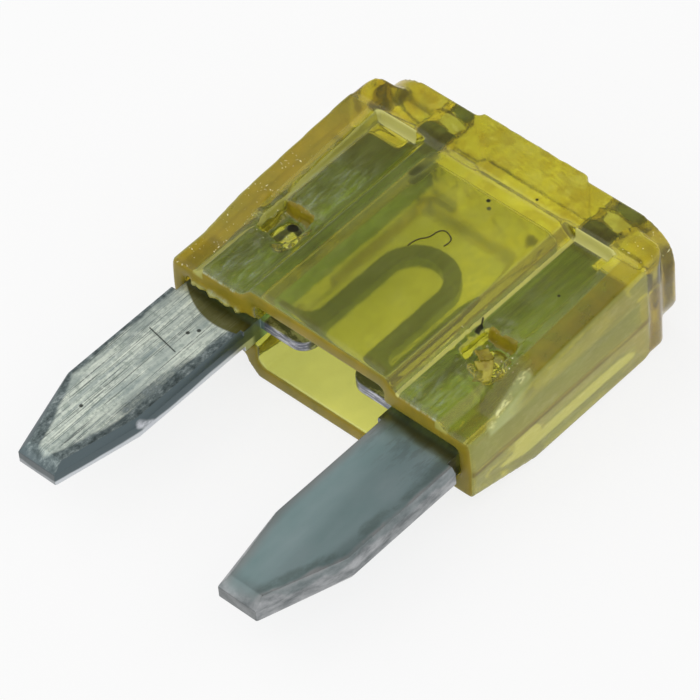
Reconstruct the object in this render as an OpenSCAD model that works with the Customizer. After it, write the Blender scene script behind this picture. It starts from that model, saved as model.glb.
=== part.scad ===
// Automotive blade fuse, mini size, lying on its back.
// Blades point to -Y, the head to +Y, the front of the housing faces up.
// The open end of the housing (its mouth) is the plane that heights are counted from.

/* [Housing] */
// Width of the housing across its parting ridge
body_w = 11.0; // [10:0.1:14]
// Height from the mouth to the top of the cap
body_h = 8.85; // [7.2:0.05:12]
// Draft of each side, from the ridge to the front or back edge
side_draft = 0.12; // [0:0.02:0.2]
// Thickness of the head, front to back
head_t = 3.6; // [3.2:0.1:4.6]
// Height of the head, from the underside of its flange to the top of the cap
head_h = 1.55; // [1.3:0.05:2]

/* [Head] */
// Height of the square-edged flange at the foot of the head
flange_h = 1.0; // [0.7:0.05:1.1]
// Inset of the flange's ends from the ridge
flange_inset = 0.1; // [0:0.05:0.3]
// Radius of the flange's long edges
flange_edge_r = 0.3; // [0.1:0.05:0.5]
// Radius of the flange's upper corners, seen from the front
flange_corner_r = 0.6; // [0.2:0.05:0.7]
// Inset of the cap's ends from the ridge
cap_inset = 0.23; // [0.1:0.01:0.4]
// Radius of the cap's upright edges, seen from the top
cap_r = 1.45; // [0.8:0.05:1.5]
// Radius of the cap's top corners, seen from the front
cap_corner_r = 0.3; // [0.1:0.05:0.4]
// Width of the raised pad on the top, which carries the rating
pad_w = 3.9; // [3:0.1:4.5]
// Height of the raised pad
pad_h = 0.2; // [0.1:0.05:0.4]

/* [Bulge and wings] */
// Step from the head's faces down to the window bulge
bulge_step = 0.05; // [0.03:0.01:0.2]
// Wall of the window bulge, front and back
window_wall = 0.57; // [0.4:0.01:0.7]
// Plastic left between the top of the window cavity and the flange
cavity_gap = 0.25; // [0.1:0.05:0.5]
// Width that the bulge's flank takes in plan
flank_w = 0.4; // [0.2:0.05:0.5]
// How far the bulge's foot reaches over the blade's inner edge
bulge_lap = 0.4; // [0.2:0.05:0.6]
// Thickness of the wings where they lie over the blades
wing_t = 2.66; // [2.3:0.02:2.8]
// Width of each recess floor, from the bulge's foot to the cheek
recess_w = 1.45; // [1.2:0.05:1.6]
// Thickness of the cheeks at the mouth
mouth_t = 2.1; // [1.8:0.05:2.3]
// Height of the parallel lead at the foot of the front cheeks
lead_h = 1.2; // [0.6:0.1:1.6]
// Height at which the front cheeks leave their steep lead-in
lead_end = 2.8; // [2:0.1:3.4]
// Thickness of the front half at that height
lead_end_t = 1.4; // [1.3:0.05:1.5]
// Height at which the back's lead-in ends
back_lead = 2.6; // [2:0.1:3.4]

/* [Blades] */
// Width of a blade
blade_w = 2.8; // [2.4:0.05:3.4]
// Thickness of a blade
blade_t = 0.8; // [0.6:0.02:1]
// Length of a blade outside the housing
blade_out = 7.2; // [6:0.1:9]
// Wall of the housing beside a blade
side_wall = 0.5; // [0.3:0.05:0.7]
// Step of the blade's outer edge, which is wider outside the housing
blade_step = 0.3; // [0.1:0.05:0.4]
// Gap between that step and the mouth
step_gap = 0.35; // [0.1:0.05:0.6]
// Clearance between the element and the housing, each side
fit = 0.05; // [0.03:0.01:0.08]
// Height of the lead-in chamfer at the mouth of a blade's slot
lead_in = 0.25; // [0.1:0.05:0.4]
// Length of the tapered tip
taper_len = 2.8; // [2:0.1:3.5]
// What the taper takes off the blade's outer edge
taper_outer = 0.9; // [0.4:0.05:1.1]
// What the taper takes off the blade's inner edge
taper_inner = 0.54; // [0.3:0.02:0.8]
// Width of the coined edges along the blade
coin_side = 0.12; // [0.05:0.01:0.3]
// Length of the coined edge at the tip
coin_tip = 0.4; // [0.1:0.05:0.6]
// Depth of the coining on each face
coin_depth = 0.2; // [0.05:0.05:0.25]
// Width of the probe tab at the head end of a blade
tab_w = 1.1; // [0.8:0.05:1.4]
// Rise of the probe tab above the blade's shoulder
tab_h = 1.2; // [0.5:0.05:1.3]

/* [Fusible link] */
// Outer width of the arch
link_w = 2.6; // [2.4:0.1:3.2]
// Width of the link's strip
strip_w = 0.52; // [0.4:0.02:0.8]
// Thickness of the link
link_t = 0.35; // [0.2:0.05:0.5]
// Height of the arch's crown above the mouth
crown_h = 5.2; // [4.4:0.05:6]
// Height of the feet's lower edge above the mouth
foot_y = 0.3; // [0.2:0.05:0.6]
// Width of the feet's strip
foot_w = 0.8; // [0.6:0.05:1.2]
// Radius of the corners where the legs turn into the feet
foot_r = 0.5; // [0.2:0.05:0.6]

/* [Stakes and probe holes] */
// Height of the stakes above the mouth
stake_y = 2.8; // [2.3:0.1:3.6]
// Offset of a stake from the blade's centre line towards the link
stake_in = 0.15; // [0:0.05:0.4]
// Diameter of a stake, the plastic peg through the blade
stake_d = 1.0; // [0.6:0.05:1.2]
// Width of the punch's pocket over a stake, at its floor
punch_w = 0.9; // [0.5:0.05:1.1]
// Length of the punch's pocket
punch_l = 1.2; // [0.8:0.05:1.6]
// Depth of the punch's pocket below the recess floor
punch_d = 0.45; // [0.1:0.05:0.6]
// How much wider the pocket is at its top, each side
punch_flare = 0.15; // [0:0.05:0.2]
// Diameter of the probe holes in the top
probe_d = 1.2; // [0.8:0.05:1.3]

/* [Hidden] */
$fn = 48;
past = 1; // how far a cutter runs past what it cuts
lap = 0.5; // how far joined shapes run into each other

// Middle of the length and of the thickness, for an origin under the centre
y_mid = (body_h + pad_h - blade_out) / 2;
z_mid = head_t / 2;

// Heights above the mouth
flange_y = body_h - head_h;
flange_top = flange_y + flange_h;
shoulder_y = flange_y - 2 * fit;
tab_top = shoulder_y + tab_h;
cavity_y = flange_y - cavity_gap;

// Half thicknesses
bulge_z = head_t / 2 - bulge_step;
cavity_z = bulge_z - window_wall;
wing_z = wing_t / 2;
mouth_z = mouth_t / 2;
slot_z = blade_t / 2 + fit;

// Places across the width, on the right side
slot_x = body_w / 2 - side_wall;
blade_xs = slot_x - fit; // outer edge inside the housing
blade_xo = blade_xs + blade_step; // outer edge outside it
blade_xi = blade_xo - blade_w;
blade_x = (blade_xo + blade_xi) / 2;
bulge_foot = blade_xi + bulge_lap;
bulge_x = bulge_foot - flank_w;
recess_x = bulge_foot + recess_w;
cavity_x = blade_xi - 2 * fit;
stake_x = blade_x - stake_in;
probe_x = blade_xi + tab_w / 2;
toe = wing_z - mouth_z; // fall and width of the slope from a wing to its cheek

// Draws (X, Z) outlines along Y, and (Y, Z) outlines along X
module along_y(y0, y1) {
    translate([0, y1, 0]) rotate([90, 0, 0]) linear_extrude(y1 - y0) children();
}
module along_x(x0, x1) {
    translate([x0, 0, 0]) rotate([90, 0, 90]) linear_extrude(x1 - x0) children();
}
module both_sides() {
    children();
    mirror([1, 0, 0]) children();
}

// A rectangle with round corners, made of squares and circles
module rounded_rect(w, h, r) {
    square([w - 2 * r, h], center = true);
    square([w, h - 2 * r], center = true);
    for (x = [-1, 1], y = [-1, 1])
        translate([x * (w / 2 - r), y * (h / 2 - r)]) circle(r);
}

// A front outline with square lower corners and round upper ones
module round_top(w, y0, y1, r) {
    translate([-w / 2, y0]) square([w, y1 - y0 - r]);
    translate([-w / 2 + r, y0]) square([w - 2 * r, y1 - y0]);
    for (x = [-1, 1]) translate([x * (w / 2 - r), y1 - r]) circle(r);
}

// One storey of the head: a section seen from the top, cut to a front outline
module storey(inset, edge_r, y0, y1, corner_r) {
    w = body_w - 2 * inset;
    intersection() {
        along_y(y0, y1) rounded_rect(w, head_t, edge_r);
        linear_extrude(head_t, center = true) round_top(w, y0, y1, corner_r);
    }
}

module head() {
    storey(flange_inset, flange_edge_r, flange_y, flange_top, flange_corner_r);
    storey(cap_inset, cap_r, flange_y, body_h, cap_corner_r);
    along_y(flange_y, body_h + pad_h) square([pad_w, head_t], center = true);
}

// The clear box over the link, with sloped flanks
module bulge() {
    along_y(0, flange_y + lap) polygon([
        [bulge_x, bulge_z], [bulge_foot, wing_z], [bulge_foot, -wing_z], [bulge_x, -bulge_z],
        [-bulge_x, -bulge_z], [-bulge_foot, -wing_z], [-bulge_foot, wing_z], [-bulge_x, bulge_z]
    ]);
}

// The recess floors over the blades, which thin towards the mouth at the back
module wings() {
    far = recess_x + toe;
    intersection() {
        along_y(0, flange_y + lap) polygon([
            [recess_x, wing_z], [far, mouth_z], [far, -wing_z],
            [-far, -wing_z], [-far, mouth_z], [-recess_x, wing_z]
        ]);
        along_x(-body_w, body_w) polygon([
            [0, head_t], [body_h, head_t], [body_h, -bulge_z], [back_lead, -bulge_z], [0, -mouth_z]
        ]);
    }
}

// The solid ends beside the blades, with a sloped front and a lead-in at the back
module cheek() {
    edge = body_w / 2 - side_draft;
    intersection() {
        along_x(recess_x, body_w) polygon([
            [0, mouth_z], [lead_h, mouth_z], [lead_end, lead_end_t], [flange_y, bulge_z],
            [flange_y, -bulge_z], [back_lead, -bulge_z], [0, -mouth_z]
        ]);
        along_y(-past, body_h) polygon([
            [body_w / 2, 0], [edge, head_t / 2], [0, head_t / 2], [0, -head_t / 2], [edge, -head_t / 2]
        ]);
    }
}

// The space inside: the window cavity, the blade slots and the tab slots
module cavity() {
    translate([-cavity_x, -past, -cavity_z]) cube([2 * cavity_x, cavity_y + past, 2 * cavity_z]);
    both_sides() {
        translate([cavity_x - past, -past, -slot_z])
            cube([slot_x - cavity_x + past, shoulder_y + fit + past, 2 * slot_z]);
        along_x(cavity_x - past, slot_x) polygon([
            [-past, slot_z + lead_in + past], [lead_in, slot_z], [lead_in, 0], [-past, 0]
        ]);
        translate([blade_xi - fit, shoulder_y - past, -slot_z])
            cube([tab_w + 2 * fit, tab_h + fit + past, 2 * slot_z]);
    }
}

// The flared pocket that the staking punch leaves in one recess floor
module punch_pocket() {
    top = punch_w / 2 + punch_flare;
    translate([stake_x, 0, wing_z])
        along_y(stake_y - punch_l / 2, stake_y + punch_l / 2) polygon([
            [-punch_w / 2, -punch_d], [punch_w / 2, -punch_d],
            [top, 0], [top, past], [-top, past], [-top, 0]
        ]);
}

module housing() {
    color([0.85, 0.80, 0.20, 0.55]) translate([0, -y_mid, z_mid]) {
        difference() {
            union() {
                head();
                bulge();
                wings();
                both_sides() cheek();
            }
            cavity();
            both_sides() {
                punch_pocket();
                mirror([0, 0, 1]) punch_pocket();
                translate([probe_x, tab_top - 2 * fit, 0]) rotate([-90, 0, 0])
                    cylinder(h = body_h, d = probe_d);
            }
        }
        both_sides() translate([stake_x, stake_y, -slot_z])
            cylinder(h = 2 * slot_z, d = stake_d);
    }
}

// The blade's front outline outside the housing, shrunk at its edges and at its tip
module tip_outline(side, tip) {
    polygon([
        [blade_xi + side, -step_gap], [blade_xo - side, -step_gap],
        [blade_xo - side, taper_len - blade_out],
        [blade_xo - taper_outer - side, tip - blade_out],
        [blade_xi + taper_inner + side, tip - blade_out],
        [blade_xi + side, taper_len - blade_out]
    ]);
}

module blade() {
    hull() {
        linear_extrude(blade_t - 2 * coin_depth, center = true) tip_outline(0, 0);
        linear_extrude(blade_t, center = true) tip_outline(coin_side, coin_tip);
    }
    linear_extrude(blade_t, center = true) difference() {
        union() {
            translate([blade_xi, -step_gap]) square([blade_w - blade_step, shoulder_y + step_gap]);
            translate([blade_xi, shoulder_y - lap]) square([tab_w, tab_h + lap]);
        }
        translate([stake_x, stake_y]) circle(d = stake_d + 2 * fit);
    }
}

// Half of the link's outline: a foot, a leg and half of the crown
module half_link() {
    out_r = link_w / 2;
    in_r = out_r - strip_w;
    crown_y = crown_h - out_r;
    foot_top = foot_y + foot_w;
    intersection() {
        translate([0, crown_y]) difference() {
            circle(out_r);
            circle(in_r);
        }
        translate([0, crown_y]) square(link_w);
    }
    translate([in_r, foot_y + foot_r]) square([strip_w, crown_y - foot_y - foot_r]);
    translate([in_r + foot_r, foot_y]) square([blade_xi + lap - in_r - foot_r, foot_w]);
    intersection() {
        translate([in_r + foot_r, foot_y + foot_r]) circle(foot_r);
        translate([in_r, foot_y]) square(foot_r);
    }
    difference() {
        translate([out_r, foot_top]) square(foot_r);
        translate([out_r + foot_r, foot_top + foot_r]) circle(foot_r);
    }
}

module fuse_element() {
    color([0.72, 0.75, 0.74]) translate([0, -y_mid, z_mid]) {
        both_sides() {
            blade();
            linear_extrude(link_t) half_link();
        }
    }
}

housing();
fuse_element();
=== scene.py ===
import math

import bpy
from mathutils import Matrix, Vector, noise


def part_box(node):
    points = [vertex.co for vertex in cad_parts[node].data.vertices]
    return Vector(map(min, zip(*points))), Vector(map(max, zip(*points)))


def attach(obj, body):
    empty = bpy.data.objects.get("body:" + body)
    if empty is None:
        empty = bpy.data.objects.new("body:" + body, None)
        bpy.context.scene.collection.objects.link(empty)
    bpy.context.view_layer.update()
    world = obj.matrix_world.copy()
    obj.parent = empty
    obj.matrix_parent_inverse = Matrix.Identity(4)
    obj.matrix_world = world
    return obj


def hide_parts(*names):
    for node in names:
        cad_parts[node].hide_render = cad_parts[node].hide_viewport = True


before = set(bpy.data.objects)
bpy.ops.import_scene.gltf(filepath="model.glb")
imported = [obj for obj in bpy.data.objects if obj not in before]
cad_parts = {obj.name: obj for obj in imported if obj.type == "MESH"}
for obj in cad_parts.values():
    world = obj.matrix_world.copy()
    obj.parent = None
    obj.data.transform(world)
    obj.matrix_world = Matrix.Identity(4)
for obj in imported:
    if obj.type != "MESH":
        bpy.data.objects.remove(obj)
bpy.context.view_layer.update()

# ---- Camera ----
# A long lens in front of the blades, to the right of the fuse and above it. Its place is
# counted from the middle of the housing's mouth, in metres.
low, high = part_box("housing")
mouth = Vector((0, low[1], (low[2] + high[2]) / 2))
camera_offset = Vector((0.07086, -0.06709, 0.10923))
camera_right = Vector((0.7390, 0.6709, -0.0598))
camera_up = Vector((-0.4706, 0.5778, 0.6669))
camera_data = bpy.data.cameras.new("camera")
camera_data.sensor_width = 36
camera_data.lens = 279
camera_data.clip_start = 0.01
camera = bpy.data.objects.new("camera", camera_data)
bpy.context.scene.collection.objects.link(camera)
turn = Matrix((camera_right, camera_up, camera_right.cross(camera_up))).transposed()
camera.matrix_world = Matrix.Translation(mouth + camera_offset) @ turn.to_4x4()
bpy.context.scene.camera = camera


# ---- Floor and light ----
# A plain pale table in a white room, with one broad soft lamp above the fuse on its left. The
# part of the room that the front of the fuse mirrors is dimmer, so that it keeps its colours.
class Field:
    """A value, vector or colour that varies over a surface: one output of a material's nodes."""

    def __init__(self, tree, output=None):
        self.tree = tree
        self.output = output

    def node(self, kind, settings=None, inputs=None, output=0):
        """One output of a new node. Its settings are made first, then its sockets' values and links."""
        made = self.tree.nodes.new("ShaderNode" + kind)
        for name, value in (settings or {}).items():
            if name == "stops":
                ramp = made.color_ramp
                while len(ramp.elements) < len(value):
                    ramp.elements.new(0.5)
                for element, (place, colour) in zip(ramp.elements, value):
                    element.position = place
                    element.color = colour
            else:
                setattr(made, name, value)
        for key, value in (inputs or {}).items():
            if isinstance(value, Field):
                self.tree.links.new(value.output, made.inputs[key])
            else:
                made.inputs[key].default_value = value
        return Field(self.tree, made.outputs[output])

    def math(self, operation, *others):
        return self.node("Math", {"operation": operation}, dict(enumerate((self, *others))))

    def vector(self, operation, *others, output="Vector"):
        return self.node("VectorMath", {"operation": operation}, dict(enumerate((self, *others))), output)

    def __add__(self, other):
        return self.math("ADD", other)

    def __sub__(self, other):
        return self.math("SUBTRACT", other)

    def __mul__(self, other):
        return self.math("MULTIPLY", other)

    def __rsub__(self, other):
        return self.math("MULTIPLY_ADD", -1.0, other)

    def __abs__(self):
        return self.math("ABSOLUTE")

    __radd__ = __add__
    __rmul__ = __mul__

    def at_most(self, limit):
        return self.math("MINIMUM", limit)

    def at_least(self, limit):
        return self.math("MAXIMUM", limit)

    def scaled(self, *times):
        """This vector, each axis multiplied by its own number."""
        return self.vector("MULTIPLY", times)

    def axes(self):
        return [self.node("SeparateXYZ", None, {0: self}, axis) for axis in "XYZ"]

    def noise(self, detail=2.0, rough=0.5):
        """Soft noise about 0.5 over this vector, one patch to each unit of it."""
        return self.node("TexNoise", None, {"Vector": self, "Scale": 1.0, "Detail": detail,
                                            "Roughness": rough})

    def step(self, start, end):
        """0 below start and 1 above end, smooth between; start may be the greater."""
        return self.node("MapRange", {"interpolation_type": "SMOOTHSTEP"},
                         {"Value": self, "From Min": start, "From Max": end})

    def between(self, start, end, soft):
        """1 from start to end and 0 outside, with edges that are soft wide."""
        return self.step(start - soft / 2, start + soft / 2) * self.step(end + soft / 2, end - soft / 2)

    def stroke(self, start, end, width, soft):
        """1 where this point is within half a width of the line from start to end, else 0."""
        start = Vector(start).to_3d()
        along = Vector(end).to_3d() - start
        arm = self.vector("SUBTRACT", start)
        if along.length > 0:
            share = arm.vector("DOT_PRODUCT", along / along.length_squared, output="Value")
            share = share.at_least(0.0).at_most(1.0)
            foot = share.node("VectorMath", {"operation": "SCALE"}, {0: along, "Scale": share}, "Vector")
            arm = arm.vector("SUBTRACT", foot)
        far = arm.vector("LENGTH", output="Value")
        return far.step((width + soft) / 2, (width - soft) / 2)

    def strokes(self, *lines):
        """The sum of several strokes, each with its start, end, width and softness."""
        drawn = self.stroke(*lines[0])
        for line in lines[1:]:
            drawn = drawn + self.stroke(*line)
        return drawn

    def ramp(self, *stops):
        """The colour of this value on a ramp of stops, each a place and a colour."""
        return self.node("ValToRGB", {"stops": stops}, {0: self})

    def mix(self, other, share):
        """This colour, with as much of the other as share says."""
        first, second, mixed = 6, 7, 2  # the sockets that a Mix node has for colours
        return self.node("Mix", {"data_type": "RGBA"}, {"Factor": share, first: self, second: other}, mixed)


def new_material(name, constants):
    """A material with only a Principled shader, that shader, and a Field to start its nodes from.
    The constants are the sockets whose value is the same all over the surface."""
    material = bpy.data.materials.new(name)
    material.use_nodes = True
    shader = material.node_tree.nodes["Principled BSDF"]
    for socket, value in constants.items():
        shader.inputs[socket].default_value = value
    return material, shader, Field(material.node_tree)


def feed(field, shader, socket):
    field.tree.links.new(field.output, shader.inputs[socket])


scene = bpy.context.scene
scene.view_settings.view_transform = "Standard"
table_size = 0.8
table_gap = 0.00002  # from the table up to the back of the fuse
table_grey = (0.93, 0.93, 0.93, 1)
table_glow = 0.8  # how much of the table is plain white where it is seen directly
white = (1, 1, 1, 1)

bpy.ops.object.select_all(action="DESELECT")
bpy.ops.mesh.primitive_plane_add(size=table_size, location=(0, 0, -table_gap))
floor = bpy.context.object
floor.name = "table"
table, table_shader, field = new_material("table", {"Base Color": table_grey, "Roughness": 0.9,
                                                    "Specular IOR Level": 0.1})
seen = field.node("LightPath", output="Is Camera Ray")
for kind in ("Is Glossy Ray", "Is Transmission Ray"):
    seen = seen.at_least(field.node("LightPath", output=kind))
glow = field.node("Emission", None, {"Color": white, "Strength": 1.0})
lit = Field(field.tree, table_shader.outputs[0])
surface = field.node("MixShader", None, {0: seen * table_glow, 1: lit, 2: glow})
feed(surface, table.node_tree.nodes["Material Output"], "Surface")
floor.data.materials.append(table)

dim_side = Vector((-0.48, 0.46, 0.74)).normalized()
dim_start, dim_full = 0.45, 0.92  # cosines of the angle from the middle of the dim side
dim_share = 0.7
world = bpy.data.worlds.new("room")
scene.world = world
world.use_nodes = True
background = world.node_tree.nodes["Background"]
background.inputs["Color"].default_value = white
toward = Field(world.node_tree).node("TexCoord", output="Generated")
toward = toward.vector("DOT_PRODUCT", dim_side, output="Value")
feed(1.0 - dim_share * toward.step(dim_start, dim_full), background, "Strength")

lamp_data = bpy.data.lights.new("softbox", "AREA")
lamp_data.size = 0.25
lamp_data.energy = 0.15
lamp = bpy.data.objects.new("softbox", lamp_data)
scene.collection.objects.link(lamp)
lamp.location = (-0.16, -0.02, 0.16)
lamp.rotation_euler = (-lamp.location).to_track_quat("-Z", "Y").to_euler()
most_bounces = 24  # enough for light to find its way out of the clear plastic
scene.cycles.max_bounces = most_bounces
scene.cycles.transmission_bounces = most_bounces

# ---- Fuse element ----
# Two blades and the thin arched link between them, stamped from one strip of zinc alloy, with
# edges that the die rolled over. The left blade's face is brushed from use in a socket and
# painted bright as a reflection of the lamp, and the right one is dull. Sizes here and below are
# in millimetres.
MM = 0.001
element_low, element_high = [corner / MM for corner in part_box("fuse_element")]
mouth_y = mouth[1] / MM
tip_y = element_low[1]
blade_outer = element_high[0]
blade_width = 2.8
blade_inner = blade_outer - blade_width
taper_length = 2.8
taper_outer, taper_inner = 0.9, 0.54  # how far a blade's outer and inner edges come in at its tip
taper_y = tip_y + taper_length
rolled_edge = 0.03
sharp_turn = math.radians(20)


def select_only(piece):
    """Selects one piece, because an operator acts on all that is selected."""
    bpy.ops.object.select_all(action="DESELECT")
    piece.select_set(True)
    bpy.context.view_layer.objects.active = piece


def copy_of(node, name):
    """A CAD node's mesh as a piece of its own, its triangles joined into whole faces."""
    piece = bpy.data.objects.new(name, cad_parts[node].data.copy())
    scene.collection.objects.link(piece)
    select_only(piece)
    bpy.ops.object.mode_set(mode="EDIT")
    bpy.ops.mesh.select_all(action="SELECT")
    bpy.ops.mesh.remove_doubles(threshold=0.001 * MM)
    bpy.ops.mesh.dissolve_limited(angle_limit=math.radians(0.2))
    bpy.ops.object.mode_set(mode="OBJECT")
    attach(piece, "root")
    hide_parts(node)
    return piece


def place_on(field):
    """Where each point of a piece lies, in millimetres."""
    return field.node("TexCoord", output="Object").scaled(*[1 / MM] * 3)


stamping = copy_of("fuse_element", "zinc_stamping")
rolled = stamping.modifiers.new("rolled edges", "BEVEL")
rolled.width = rolled_edge * MM
rolled.segments = 2
rolled.angle_limit = sharp_turn
bpy.ops.object.modifier_apply(modifier=rolled.name)
bpy.ops.object.shade_smooth_by_angle(angle=sharp_turn)

zinc, zinc_shader, field = new_material("zinc", {"Metallic": 0.9})
at = place_on(field)
from_front = at.scaled(1.0, 1.0, 0.0)
x, y, z = at.axes()
facing_y, facing_z = field.node("TexCoord", output="Normal").axes()[1:]
across = abs(x)
on_left = x.step(0.2, -0.2)
outside = y.step(mouth_y + 0.1, mouth_y - 0.1)
on_face = abs(facing_z).step(0.75, 0.95)
past_taper = (taper_y - y).at_least(0.0)
to_outer = blade_outer - past_taper * (taper_outer / taper_length) - across
to_inner = across - blade_inner - past_taper * (taper_inner / taper_length)
wander = at.scaled(0.9, 0.5, 0.9).noise(3.0) - 0.5
grain = at.scaled(8.0, 0.45, 1.0).noise(4.0, 0.6)
hairs = at.scaled(34.0, 0.5, 1.0).noise(2.0)
blotch = at.scaled(1.6, 1.0, 3.0).noise(4.0, 0.65)
pits = at.scaled(7.0, 4.0, 7.0).noise(3.0, 0.7)

# Bare zinc with drawing marks, as it stays under the plastic. It is lighter along each blade's
# middle and towards the mouth with painted light, and darker with painted shade inside the head,
# at the far ends of the recesses and right at the mouth. It is also darker on the link, and the
# link's feet carry painted glints.
drawn_dark, drawn_bright = (0.19, 0.34, 0.30, 1), (0.50, 0.80, 0.78, 1)
lit_zinc, shaded_zinc, chalky = (0.72, 1.0, 0.95, 1), (0.08, 0.11, 0.05, 1), (0.95, 1.0, 0.85, 1)
link_grey, foot_grey, glint_highlight_white = (0.17, 0.20, 0.16, 1), (0.13, 0.12, 0.17, 1), (0.85, 0.85, 0.9, 1)
mouth_shade_grey = (0.10, 0.11, 0.10, 1)
# Painted light on the recess floors and towards the mouth
painted_light = x.between(-4.1, -3.3, 0.4) * y.between(2.4, 4.8, 0.5)
painted_light = painted_light + x.between(3.4, 4.2, 0.3) * y.between(1.8, 5.3, 0.8)
painted_light = painted_light + y.step(0.9, 0.3) * (0.4 + 0.6 * wander.step(-0.1, 0.1))
# Painted shade at the far ends of the recesses and inside the head
painted_shade = x.step(-3.2, -3.5) * y.between(4.9, 6.4, 0.3) + x.step(4.4, 4.6) * y.between(4.0, 5.9, 0.3)
painted_shade = (painted_shade + y.step(6.3, 6.5)).at_most(1.0)
chalk = at.scaled(9.0, 5.0, 9.0).noise(2.0).step(0.62, 0.68)
on_link = across.step(blade_inner - 0.1, blade_inner - 0.2)
foot = on_link * y.step(mouth_y + 1.15, mouth_y + 0.9)
# Painted glints on the link's feet
painted_glints = at.scaled(1.5, 3.0, 9.0).noise(4.0, 0.75).step(0.46, 0.62)
bare = grain.ramp((0.35, drawn_dark), (0.7, drawn_bright))
bare = bare.mix(lit_zinc, painted_light.at_most(1.0) * 0.5)
bare = bare.mix(shaded_zinc, painted_shade * 0.65)
bare = bare.mix(chalky, chalk * y.step(1.2, 0.2) * 0.7)
bare = bare.mix(link_grey, on_link * 0.75)
bare = bare.mix(foot_grey, foot * 0.8)
bare = bare.mix(glint_highlight_white, foot * painted_glints * 0.55)
# Painted shade on the blades just inside the mouth
bare = bare.mix(mouth_shade_grey, y.step(mouth_y + 0.55, mouth_y + 0.2) * (1.0 - on_link) * 0.85)

# The dull right blade, with a painted highlight along its outer edge and painted shade just
# inside it, and smears towards the mouth
dull_dark, dull_light = (0.18, 0.26, 0.26, 1), (0.23, 0.30, 0.305, 1)
inner_grey, groove_shade_grey, rim_highlight_grey = (0.23, 0.225, 0.22, 1), (0.12, 0.16, 0.15, 1), (0.33, 0.34, 0.34, 1)
tip_grey, smear_grey = (0.13, 0.15, 0.15, 1), (0.12, 0.14, 0.14, 1)
shade_beside_rim = (to_outer + wander * 0.8).between(0.25, 0.55, 0.2)
lit_rim = (to_outer + wander * 0.8).step(0.30, 0.18)
smears = at.scaled(4.0, 0.9, 4.0).noise(4.0, 0.7).step(0.50, 0.62) * y.step(mouth_y - 2.2, mouth_y - 0.6)
dull = at.scaled(0.8, 0.4, 0.8).noise(3.0).ramp((0.35, dull_dark), (0.65, dull_light))
dull = dull.mix(inner_grey, (to_inner + wander * 0.3).step(0.45, 0.1) * 0.7)
# Painted shade just inside the outer edge, and a painted highlight along it
dull = dull.mix(groove_shade_grey, shade_beside_rim * (0.2 + 0.5 * blotch.step(0.4, 0.6)))
dull = dull.mix(rim_highlight_grey, lit_rim * (0.5 + 0.5 * blotch.step(0.42, 0.55)))
dull = dull.mix(tip_grey, (y + wander).step(tip_y + 0.75, tip_y + 0.2) * 0.55)
dull = dull.mix(smear_grey, smears * 0.35)

# The brushed left blade: a patch painted bright as a reflection of the lamp, with dark hairs and
# dimples, inside a pitted dull border
lit_grain_dark, lit_grain_mid, lit_grain_bright = (0.34, 0.40, 0.38, 1), (0.60, 0.66, 0.58, 1), (0.85, 0.90, 0.78, 1)
hair_dark, dimple_shade, dimple_highlight = (0.07, 0.09, 0.09, 1), (0.24, 0.30, 0.26, 1), (0.92, 0.97, 0.86, 1)
rubbed_grey, scratch_black = (0.27, 0.33, 0.32, 1), (0.02, 0.025, 0.02, 1)
border_dark, border_mid, border_light = (0.07, 0.09, 0.09, 1), (0.17, 0.21, 0.21, 1), (0.42, 0.47, 0.46, 1)
margin = 0.32 + past_taper * 0.1
lit_patch = (to_outer.at_most(to_inner) - margin + wander * 0.5).step(-0.06, 0.06)
lit_patch = lit_patch * (y + wander).step(tip_y + 0.25, tip_y + 0.5)
hair_share = hairs.step(0.60, 0.66) * 0.8 + at.scaled(22.0, 0.3, 1.0).noise(1.0).step(0.62, 0.66) * 0.7
dimples = at.scaled(7.0, 5.5, 7.0).noise(3.0, 0.7)
rubbed_dull = at.scaled(1.3, 0.5, 1.3).noise(3.0, 0.6).step(0.50, 0.66)
smudge = from_front.stroke((-2.68, -3.2), (-2.85, -5.2), 0.72, 0.35) * (0.55 + 0.45 * pits.step(0.4, 0.6))
scratches = from_front.strokes(((-4.54, -2.77), (-3.41, -2.97), 0.04, 0.03),
                               ((-3.61, -2.25), (-3.61, -2.25), 0.12, 0.04),
                               ((-3.43, -2.0), (-3.43, -2.0), 0.12, 0.04),
                               ((-4.03, -5.99), (-4.03, -5.99), 0.12, 0.04))
# Inside the patch the grain is painted bright as a reflection of the lamp
brushed_lit_face = grain.ramp((0.3, lit_grain_dark), (0.52, lit_grain_mid), (0.72, lit_grain_bright))
brushed_lit_face = brushed_lit_face.mix(hair_dark, hair_share.at_most(0.75))
# Painted shade and highlights in the dimples
brushed_lit_face = brushed_lit_face.mix(dimple_shade, dimples.step(0.46, 0.38) * 0.45)
brushed_lit_face = brushed_lit_face.mix(dimple_highlight, dimples.step(0.56, 0.64) * 0.35)
brushed_lit_face = brushed_lit_face.mix(rubbed_grey, rubbed_dull * 0.45)
border = pits.ramp((0.35, border_dark), (0.55, border_mid), (0.75, border_light))
left_face = brushed_lit_face.mix(border, (1.0 - lit_patch + smudge).at_most(1.0))
left_face = left_face.mix(scratch_black, scratches.at_most(1.0) * 0.9)

# Painted shadow and reflection of the housing's mouth darken both faces beside the mouth, up
# to a curved line on the left one
mouth_shadow_olive = (0.10, 0.095, 0.013, 1)
bend = x + 3.3
mouth_shadowed = (y - (bend * bend * 0.25 - 1.58)).step(-0.03, 0.04) * on_left
mouth_shadowed = mouth_shadowed + (y + wander * 0.6).step(mouth_y - 0.45, mouth_y - 0.15) * (1.0 - on_left) * 0.8
face = dull.mix(left_face, on_left)
face = face.mix(mouth_shadow_olive, mouth_shadowed * 0.92)

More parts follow.
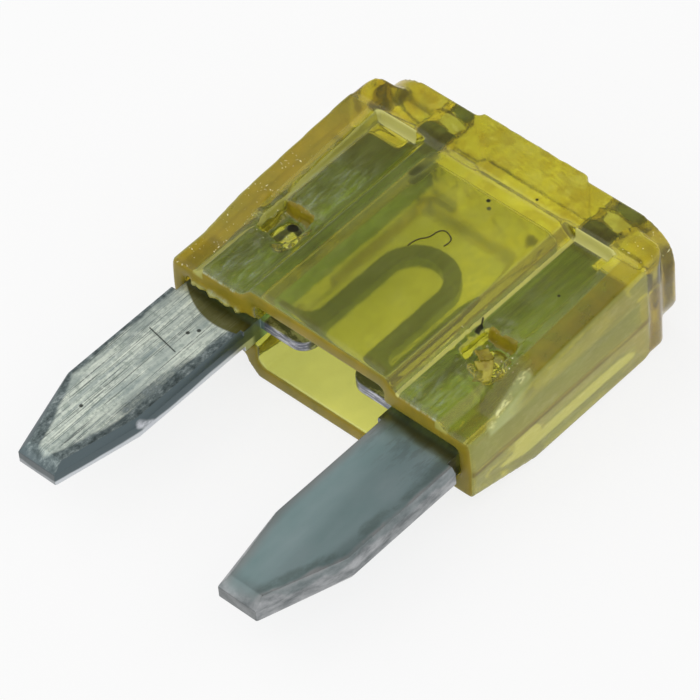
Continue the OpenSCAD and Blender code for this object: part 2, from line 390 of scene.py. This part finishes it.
# The cut sides: the left blade's is burnished below, dark above where the metal tore, and has
# one nick, painted bright as a highlight. The right blade's is blotched, and the ends of both
# are darkened with painted shade.
burnished, torn_dark = (0.62, 0.65, 0.68, 1), (0.10, 0.13, 0.14, 1)
side_dark, side_light = (0.15, 0.165, 0.17, 1), (0.42, 0.43, 0.44, 1)
spilt_grey, nick_highlight, end_shade_grey = (0.14, 0.18, 0.18, 1), (0.58, 0.60, 0.64, 1), (0.13, 0.14, 0.14, 1)
left_side = (z + wander * 0.2).step(1.70, 1.78).ramp((0.0, burnished), (1.0, torn_dark))
nick = at.stroke((-2.46, -4.90, 1.66), (-2.50, -5.34, 1.98), 0.24, 0.12)
# The nick's facet is painted bright as a highlight
left_side = left_side.mix(nick_highlight, nick * (0.5 + 0.5 * pits.step(0.35, 0.6)))
right_side = blotch.ramp((0.35, side_dark), (0.65, side_light))
right_side = right_side.mix(spilt_grey, (z + wander * 1.2).step(2.02, 2.12) * 0.5)
sides = right_side.mix(left_side, on_left)
# Painted shade on the end faces
sides = sides.mix(end_shade_grey, facing_y.step(-0.5, -0.8) * 0.6)

blade_colour = sides.mix(face, on_face)
relief = grain * 0.6 + hairs * 0.4 * on_left
scored_zinc = field.node("Bump", None, {"Strength": 0.35, "Distance": 0.01 * MM, "Height": relief})
feed(bare.mix(blade_colour, outside), zinc_shader, "Base Color")
feed(0.24 + 0.12 * (grain + on_left * 0.5), zinc_shader, "Roughness")
feed(scored_zinc, zinc_shader, "Normal")
stamping.material_slots[0].material = zinc

# ---- Housing ----
# One shot of clear yellow plastic over both blades, open at the mouth and held by stakes punched
# through them. The mould leaves its edges soft, its faces a little wavy and flash at the mouth,
# and the punch bruised it round the stakes.
housing_low, housing_high = [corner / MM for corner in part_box("housing")]
side_x = housing_high[0]
cheek_x = 4.5  # where the slope beside a recess ends
recess_inner, recess_outer = 2.95, 4.25  # just inside the edges of a recess's floor
flange_y = mouth_y + 7.3  # the underside of the head
ridge_z = (housing_low[2] + housing_high[2]) / 2
stake_x, stake_y = 3.7, mouth_y + 2.8
pocket_z = 2.6  # below the floors of the pockets that the punch left
bruise_reach, bruise_depth = 1.15, 0.10
dent_depth = 0.035
flash_left, flash_right, flash_z = -4.8, -2.7, 2.35
flash_length = 0.34
probe_x, probe_width = 3.0, 1.35  # the tint is darker a little past the holes

moulding = copy_of("housing", "housing_moulding")
skin = moulding.modifiers.new("skin", "REMESH")
skin.mode = "VOXEL"
skin.voxel_size = 0.085 * MM
bpy.ops.object.modifier_apply(modifier=skin.name)
soften = moulding.modifiers.new("soft edges", "SMOOTH")
soften.factor = 0.5
soften.iterations = 3
bpy.ops.object.modifier_apply(modifier=soften.name)
bpy.ops.object.shade_smooth()

# The plastic is rough round the stakes, the pad on the top is dented by handling, and flash
# hangs from the left wing at the mouth
for vertex in moulding.data.vertices:
    spot = vertex.co / MM
    if spot.z > pocket_z:
        reach = math.hypot(abs(spot.x) - stake_x, spot.y - stake_y)
        rough = noise.noise(spot * 5.0) + 0.5 * noise.noise(spot * 11.0)
        vertex.co.z += bruise_depth * MM * rough * max(0.0, min(1.0, (bruise_reach - reach) / 0.3))
    if spot.y > housing_high[1] - 0.1:
        vertex.co.y -= dent_depth * MM * abs(noise.noise(spot * 1.7) + 0.6 * noise.noise(spot * 4.0))
    if spot.y < mouth_y + 0.06 and flash_left < spot.x < flash_right and spot.z > ridge_z:
        lip = max(0.0, 1.0 - abs(spot.z - flash_z) / 0.25)
        ends = min(1.0, 4 * (spot.x - flash_left), 4 * (flash_right - spot.x))
        ragged = 0.75 + 0.5 * noise.noise(Vector((spot.x * 4.0, 0.0, 0.0)))
        vertex.co.y -= flash_length * MM * lip * ends * ragged

refraction = 1.5
clear, clear_shader, field = new_material("clear_yellow_plastic", {"Transmission Weight": 0.92,
                                                                   "IOR": refraction, "Roughness": 0.12})
at = place_on(field)
from_front = at.scaled(1.0, 1.0, 0.0)
from_top = at.scaled(1.0, 0.0, 1.0)
x, y, z = at.axes()
facing_y, facing_z = field.node("TexCoord", output="Normal").axes()[1:]
across = abs(x)
on_left = x.step(0.2, -0.2)
front = facing_z.step(0.3, 0.6) * z.step(2.4, 2.55)
in_head = y.step(flange_y - 0.2, flange_y + 0.2)
below_head = y.step(flange_y, flange_y - 0.1)
cloud = at.scaled(0.45, 0.3, 0.45).noise(3.0, 0.6)
fine = at.scaled(3.0, 1.5, 3.0).noise(4.0, 0.6)
mottle = at.scaled(1.1, 1.1, 0.6).noise(3.0, 0.6)
small_mottle = at.scaled(1.9, 2.6, 1.3).noise(3.0, 0.65)

# The tint of the clear plastic is deeper in places, where it cooled last: it is mottled in the
# head, brown at its right end and amber along the sides. Round the two probe holes it is dark
# with painted shade.
tint_deep, tint_pale = (0.58, 0.60, 0.11, 1), (0.82, 0.82, 0.19, 1)
head_yellow, mottle_brown, small_brown = (0.70, 0.64, 0.06, 1), (0.46, 0.37, 0.03, 1), (0.48, 0.38, 0.03, 1)
small_pale, end_brown, back_pale = (0.95, 0.93, 0.38, 1), (0.42, 0.33, 0.03, 1), (0.78, 0.78, 0.40, 1)
amber, burnt_brown, hole_shade = (0.80, 0.60, 0.06, 1), (0.22, 0.16, 0.02, 1), (0.20, 0.21, 0.03, 1)
right_end = in_head * x.step(3.2, 4.6)
amber_share = across.step(cheek_x - 0.1, cheek_x + 0.1) * (0.4 + 0.5 * on_left) * cloud.step(0.25, 0.6)
burnt = from_front.strokes(((4.9, 7.05), (5.3, 6.95), 0.3, 0.5),
                           ((-4.6, 7.3), (-4.9, 7.0), 0.3, 0.6))
left_probe, right_probe = (-probe_x, 0, ridge_z), (probe_x, 0, ridge_z)
shaded_probe_holes = from_top.strokes((left_probe, left_probe, probe_width, 0.1),
                               (right_probe, right_probe, probe_width, 0.1))
tint = (cloud + 0.06 * x.at_least(-2.4).at_most(2.4)).ramp((0.35, tint_deep), (0.65, tint_pale))
tint = tint.mix(head_yellow, in_head * 0.45)
tint = tint.mix(mottle_brown, in_head * mottle.step(0.47, 0.60) * 0.75)
tint = tint.mix(small_brown, in_head * small_mottle.step(0.52, 0.62) * 0.45)
tint = tint.mix(small_pale, in_head * small_mottle.step(0.44, 0.36) * 0.5)
tint = tint.mix(end_brown, right_end * (0.3 + 0.5 * mottle.step(0.38, 0.55)))
tint = tint.mix(back_pale, z.step(1.2, 0.8) * (1.0 - in_head) * 0.3)
tint = tint.mix(amber, amber_share)
tint = tint.mix(burnt_brown, burnt * 0.75)
# Painted shade round the probe holes
tint = tint.mix(hole_shade, shaded_probe_holes * y.step(flange_y + 0.5, flange_y + 0.7) * 0.8)
feed(tint, clear_shader, "Base Color")

# A dull skin covers a share of the clear plastic, in the colours of its marks and of painted
# light. It is nearly whole on the end faces at the mouth and at the recesses' ends, whose pale
# skin is a painted highlight, half there on the sides and slopes that the mould frosted, and only
# dust on the front.
mouth_brown, mouth_amber = (0.21, 0.175, 0.012, 1), (0.34, 0.24, 0.012, 1)
dust_green, frost_yellow, highlight_pale = (0.34, 0.38, 0.11, 1), (0.40, 0.39, 0.09, 1), (0.63, 0.61, 0.20, 1)
gleam_white, seam_and_shadow_brown = (0.80, 0.80, 0.38, 1), (0.16, 0.115, 0.02, 1)
at_mouth = y.between(mouth_y - 0.06, mouth_y + 0.12, 0.08) * facing_y.step(-0.5, -0.85)
# The flash is painted pale as a highlight
flash = y.step(mouth_y - 0.04, mouth_y - 0.10)
toe = across.between(4.24, 4.64, 0.06) * facing_z.step(0.95, 0.85) * z.step(2.75, 2.85) * below_head
# Painted highlight on the recesses' end faces
recess_end_highlight = y.between(flange_y - 0.12, flange_y + 0.1, 0.06) * facing_y.step(-0.35, -0.6)
recess_end_highlight = recess_end_highlight * across.between(2.9, 4.65, 0.08) * z.step(ridge_z, ridge_z + 0.2)
# A painted highlight line along the window's right flank and a painted shadow band inside it
flank_highlight = x.between(2.82, 2.93, 0.04) * front * below_head
flank_shadow = x.between(2.5, 2.74, 0.06) * front * below_head
side = across.step(side_x - 0.22, side_x - 0.1) * y.step(flange_y + 0.1, flange_y) * (1.0 - at_mouth)
parting = abs(z - ridge_z + 0.1).step(0.20, 0.04) * side * (cloud * 2.0).step(0.5, 1.0)
cheek = across.step(cheek_x + 0.05, cheek_x + 0.15) * front * below_head * (1.0 - side)
punch_wall = from_front.strokes(((-4.05, 2.45), (-3.35, 2.45), 0.3, 0.05),
                                ((3.35, 2.45), (4.05, 2.45), 0.3, 0.05)) * facing_y.step(-0.3, -0.5)
dust = (front * (1.0 - at_mouth) * (0.02 + 0.13 * (fine * cloud * 2.0).step(0.4, 0.75))).at_least(0.0)
# Painted highlight streaks along the right cheek's front edge
gleam = from_front.strokes(((5.38, -0.15), (5.28, 0.5), 0.16, 0.08),
                           ((5.28, 0.5), (5.0, 1.9), 0.22, 0.12))
gleam = gleam * z.step(2.6, 2.75) * at.scaled(3.0, 1.3, 3.0).noise(3.0, 0.7).step(0.42, 0.56)
paint = mottle.ramp((0.3, mouth_brown), (0.7, mouth_amber))
paint = paint.mix(dust_green, (1.0 - at_mouth - cheek - punch_wall).at_least(0.0))
paint = paint.mix(frost_yellow, (toe + side).at_most(1.0))
paint = paint.mix(highlight_pale, (recess_end_highlight + flank_highlight + flash).at_most(1.0))
paint = paint.mix(gleam_white, gleam)
paint = paint.mix(seam_and_shadow_brown, (parting + flank_shadow).at_most(1.0))
share = at_mouth * 0.9 + toe * (0.2 + 0.5 * on_left) + recess_end_highlight * 0.88 + side * 0.45 + parting * 0.2
share = share + flank_highlight * 0.5 + flank_shadow * 0.4 + punch_wall * 0.7 + dust + flash * 0.45
share = share + cheek * (0.1 + 0.4 * (on_left + y.step(1.6, 2.4)).at_most(1.0)) + gleam * 0.6

# A facet on the right cheek beside the mouth, painted light as where it catches the lamp;
# streaks of dust and painted sheen on the recess floors; and fine scratches along the sides
lit_facet_pale, dust_and_sheen_pale, scored_pale = (0.50, 0.54, 0.22, 1), (0.42, 0.50, 0.36, 1), (0.56, 0.55, 0.24, 1)
lit_facet = from_front.stroke((5.40, 0.1), (5.12, 1.7), 0.42, 0.2) * z.step(2.5, 2.65) * (1.0 - gleam)
streak_reach = y.step(1.3, 0.2) + y.between(2.4, 4.9, 1.2) * (0.55 + 0.45 * on_left)
# Streaks of dust and painted sheen on the recess floors
dust_and_sheen_streaks = across.between(recess_inner, recess_outer, 0.1) * front * below_head
dust_and_sheen_streaks = dust_and_sheen_streaks * at.scaled(7.0, 1.6, 1.0).noise(4.0, 0.75).step(0.36, 0.70) * streak_reach * (1.0 - punch_wall)
scored = at.scaled(1.5, 1.1, 3.2).noise(4.0, 0.75).step(0.40, 0.72) * side * (1.0 - parting)
paint = paint.mix(lit_facet_pale, lit_facet)
paint = paint.mix(dust_and_sheen_pale, dust_and_sheen_streaks)
paint = paint.mix(scored_pale, scored * 0.4)
share = share + lit_facet * 0.32 + dust_and_sheen_streaks * 0.24 + scored * 0.06

# Torn crumbs, light and dark, round the stakes, and light ones on the left cheek. At the head's
# right end the light flecks are painted highlights.
fleck_and_highlight_white, crumb_dark = (0.95, 0.95, 0.65, 1), (0.05, 0.05, 0.006, 1)
round_stakes = from_front.strokes(((-3.9, 1.75), (-3.5, 1.75), 1.6, 0.3),
                                  ((3.5, 1.75), (4.0, 1.75), 1.6, 0.3))
fleck_and_highlight_places = round_stakes + cheek * on_left * y.step(4.5, 3.5) + in_head * x.step(3.8, 4.8)
flecks_and_highlights = at.scaled(11.0, 11.0, 11.0).noise(2.0, 0.7).step(0.67, 0.71) * front * fleck_and_highlight_places.at_most(1.0)
crumbs = at.scaled(8.0, 8.0, 8.0).noise(3.0, 0.75).step(0.34, 0.30) * front * round_stakes
paint = paint.mix(fleck_and_highlight_white, flecks_and_highlights)
paint = paint.mix(crumb_dark, crumbs)
share = share + flecks_and_highlights * 0.8 + crumbs * 0.6

# Black specks, a painted shadow line beside the small flake, a dark hook round the left stake,
# and the painted shade inside the window's left edge
speck_and_shade_black = (0.012, 0.012, 0.003, 1)
specks = from_front.strokes(((0.37, 5.68), (0.37, 5.68), 0.13, 0.03),
                            ((1.41, 6.51), (1.41, 6.51), 0.09, 0.03),
                            ((3.9, 4.51), (3.9, 4.51), 0.09, 0.03),
                            ((3.04, 2.15), (3.0, 2.36), 0.15, 0.06),
                            ((2.96, 2.42), (2.86, 2.6), 0.06, 0.04),
                            # a painted shadow line beside the small flake
                            ((3.62, 1.90), (3.75, 1.78), 0.14, 0.05))
hook = from_front.strokes(((-3.80, 1.35), (-3.68, 2.10), 0.26, 0.10),
                          ((-3.68, 2.10), (-3.15, 2.05), 0.26, 0.10))
window_edge_shade = from_front.stroke((-1.9, 6.0), (-1.95, 5.2), 0.34, 0.16) * 0.6
window_edge_shade = window_edge_shade + from_front.stroke((-1.93, 5.4), (-2.05, 2.4), 0.3, 0.4) * 0.3
specks = ((specks + hook * 0.85 + window_edge_shade) * front).at_most(1.0)
paint = paint.mix(speck_and_shade_black, specks)
share = (share + specks).at_most(0.97)

frosted = field.node("BsdfPrincipled", None, {"Base Color": paint, "Roughness": 0.4, "IOR": refraction,
                                              "Specular IOR Level": 0.2})
glassy = Field(field.tree, clear_shader.outputs[0])
surface = field.node("MixShader", None, {0: share, 1: glassy, 2: frosted})
feed(surface, clear.node_tree.nodes["Material Output"], "Surface")
waves = field.node("Bump", None, {"Strength": 0.25, "Distance": 0.02 * MM, "Height": fine})
feed(waves, clear_shader, "Normal")

absorbed = (20.0, 38.0, 450.0)  # of red, green and blue light, for each metre
most = max(absorbed)
dye = field.node("VolumeAbsorption", None, {"Density": most, "Color": (*[1 - a / most for a in absorbed], 1)})
feed(dye, clear.node_tree.nodes["Material Output"], "Volume")
moulding.material_slots[0].material = clear

# ---- Torn flakes ----
# Slivers of the same plastic that the punch tore up beside the right stake. Each still hangs on
# by one edge, bent up out of the punch's pocket.
flake_thickness = 0.05
curl, buckle, unevenness = 0.35, 0.10, 0.35  # of a flake before it is scaled to its size
flakes = (("flake_wide", (4.14, 1.15, 3.12), (12, -20, 25), 0.52, 0.62),
          ("flake_small", (3.72, 1.62, 3.10), (-25, 15, -20), 0.34, 0.42))
torn_deep, torn_pale = (0.28, 0.22, 0.02, 1), (0.45, 0.40, 0.05, 1)
torn, torn_shader, field = new_material("torn_yellow_plastic", {"Roughness": 0.3, "Specular IOR Level": 0.3})
torn_patches = place_on(field).scaled(3.0, 3.0, 3.0).noise(3.0)
feed(torn_patches.ramp((0.35, torn_deep), (0.6, torn_pale)), torn_shader, "Base Color")
for name, place, tilt, width, length in flakes:
    bpy.ops.object.select_all(action="DESELECT")
    bpy.ops.mesh.primitive_grid_add(x_subdivisions=8, y_subdivisions=8, size=MM)
    flake = bpy.context.object
    flake.name = name
    for vertex in flake.data.vertices:
        spot = vertex.co / MM
        vertex.co.z = MM * (curl * spot.y ** 2 + buckle * noise.noise(spot * 3.0 + Vector(place)))
        vertex.co.x *= 1.0 + unevenness * noise.noise(spot * 2.5 + Vector(place))
    flake.scale = (width, length, 1.0)
    flake.rotation_euler = [math.radians(angle) for angle in tilt]
    flake.location = Vector(place) * MM
    bpy.ops.object.transform_apply(location=True, rotation=True, scale=True)
    thick = flake.modifiers.new("thickness", "SOLIDIFY")
    thick.thickness = flake_thickness * MM
    bpy.ops.object.modifier_apply(modifier=thick.name)
    bpy.ops.object.shade_smooth()
    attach(flake, "root")
    flake.data.materials.append(torn)

# ---- Fibre ----
# A hair of dark lint, loosely curled. It has settled on the window of the housing and clings
# to it along its whole length.
fibre_radius = 0.019
window_z = housing_high[2] - 0.05  # the window is a step below the head's face
route_z = window_z + 0.016  # a little less than the radius, so that the fibre touches
route = ((-0.22, 3.04), (-0.22, 3.33), (0.05, 3.64), (0.05, 3.93),
         (0.21, 4.11), (0.54, 3.99), (0.60, 3.80), (0.56, 3.63))
lint_dark, lint_light = (0.02, 0.018, 0.004, 1), (0.06, 0.05, 0.012, 1)
strand_data = bpy.data.curves.new("lint_fibre", "CURVE")
strand_data.dimensions = "3D"
strand_data.bevel_depth = fibre_radius * MM
strand_data.bevel_resolution = 2
strand_data.use_fill_caps = True
strand = strand_data.splines.new("NURBS")
strand.points.add(len(route) - 1)
for point, (route_x, route_y) in zip(strand.points, route):
    point.co = (route_x * MM, route_y * MM, route_z * MM, 1.0)
strand.order_u = 3
strand.use_endpoint_u = True
lint = bpy.data.objects.new("lint_fibre", strand_data)
scene.collection.objects.link(lint)
select_only(lint)
bpy.ops.object.convert(target="MESH")
lint = bpy.context.object
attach(lint, "root")
lint_material, lint_shader, field = new_material("lint", {"Roughness": 0.7})
lint_patches = place_on(field).scaled(6.0, 6.0, 6.0).noise()
feed(lint_patches.ramp((0.3, lint_dark), (0.7, lint_light)), lint_shader, "Base Color")
lint.data.materials.append(lint_material)
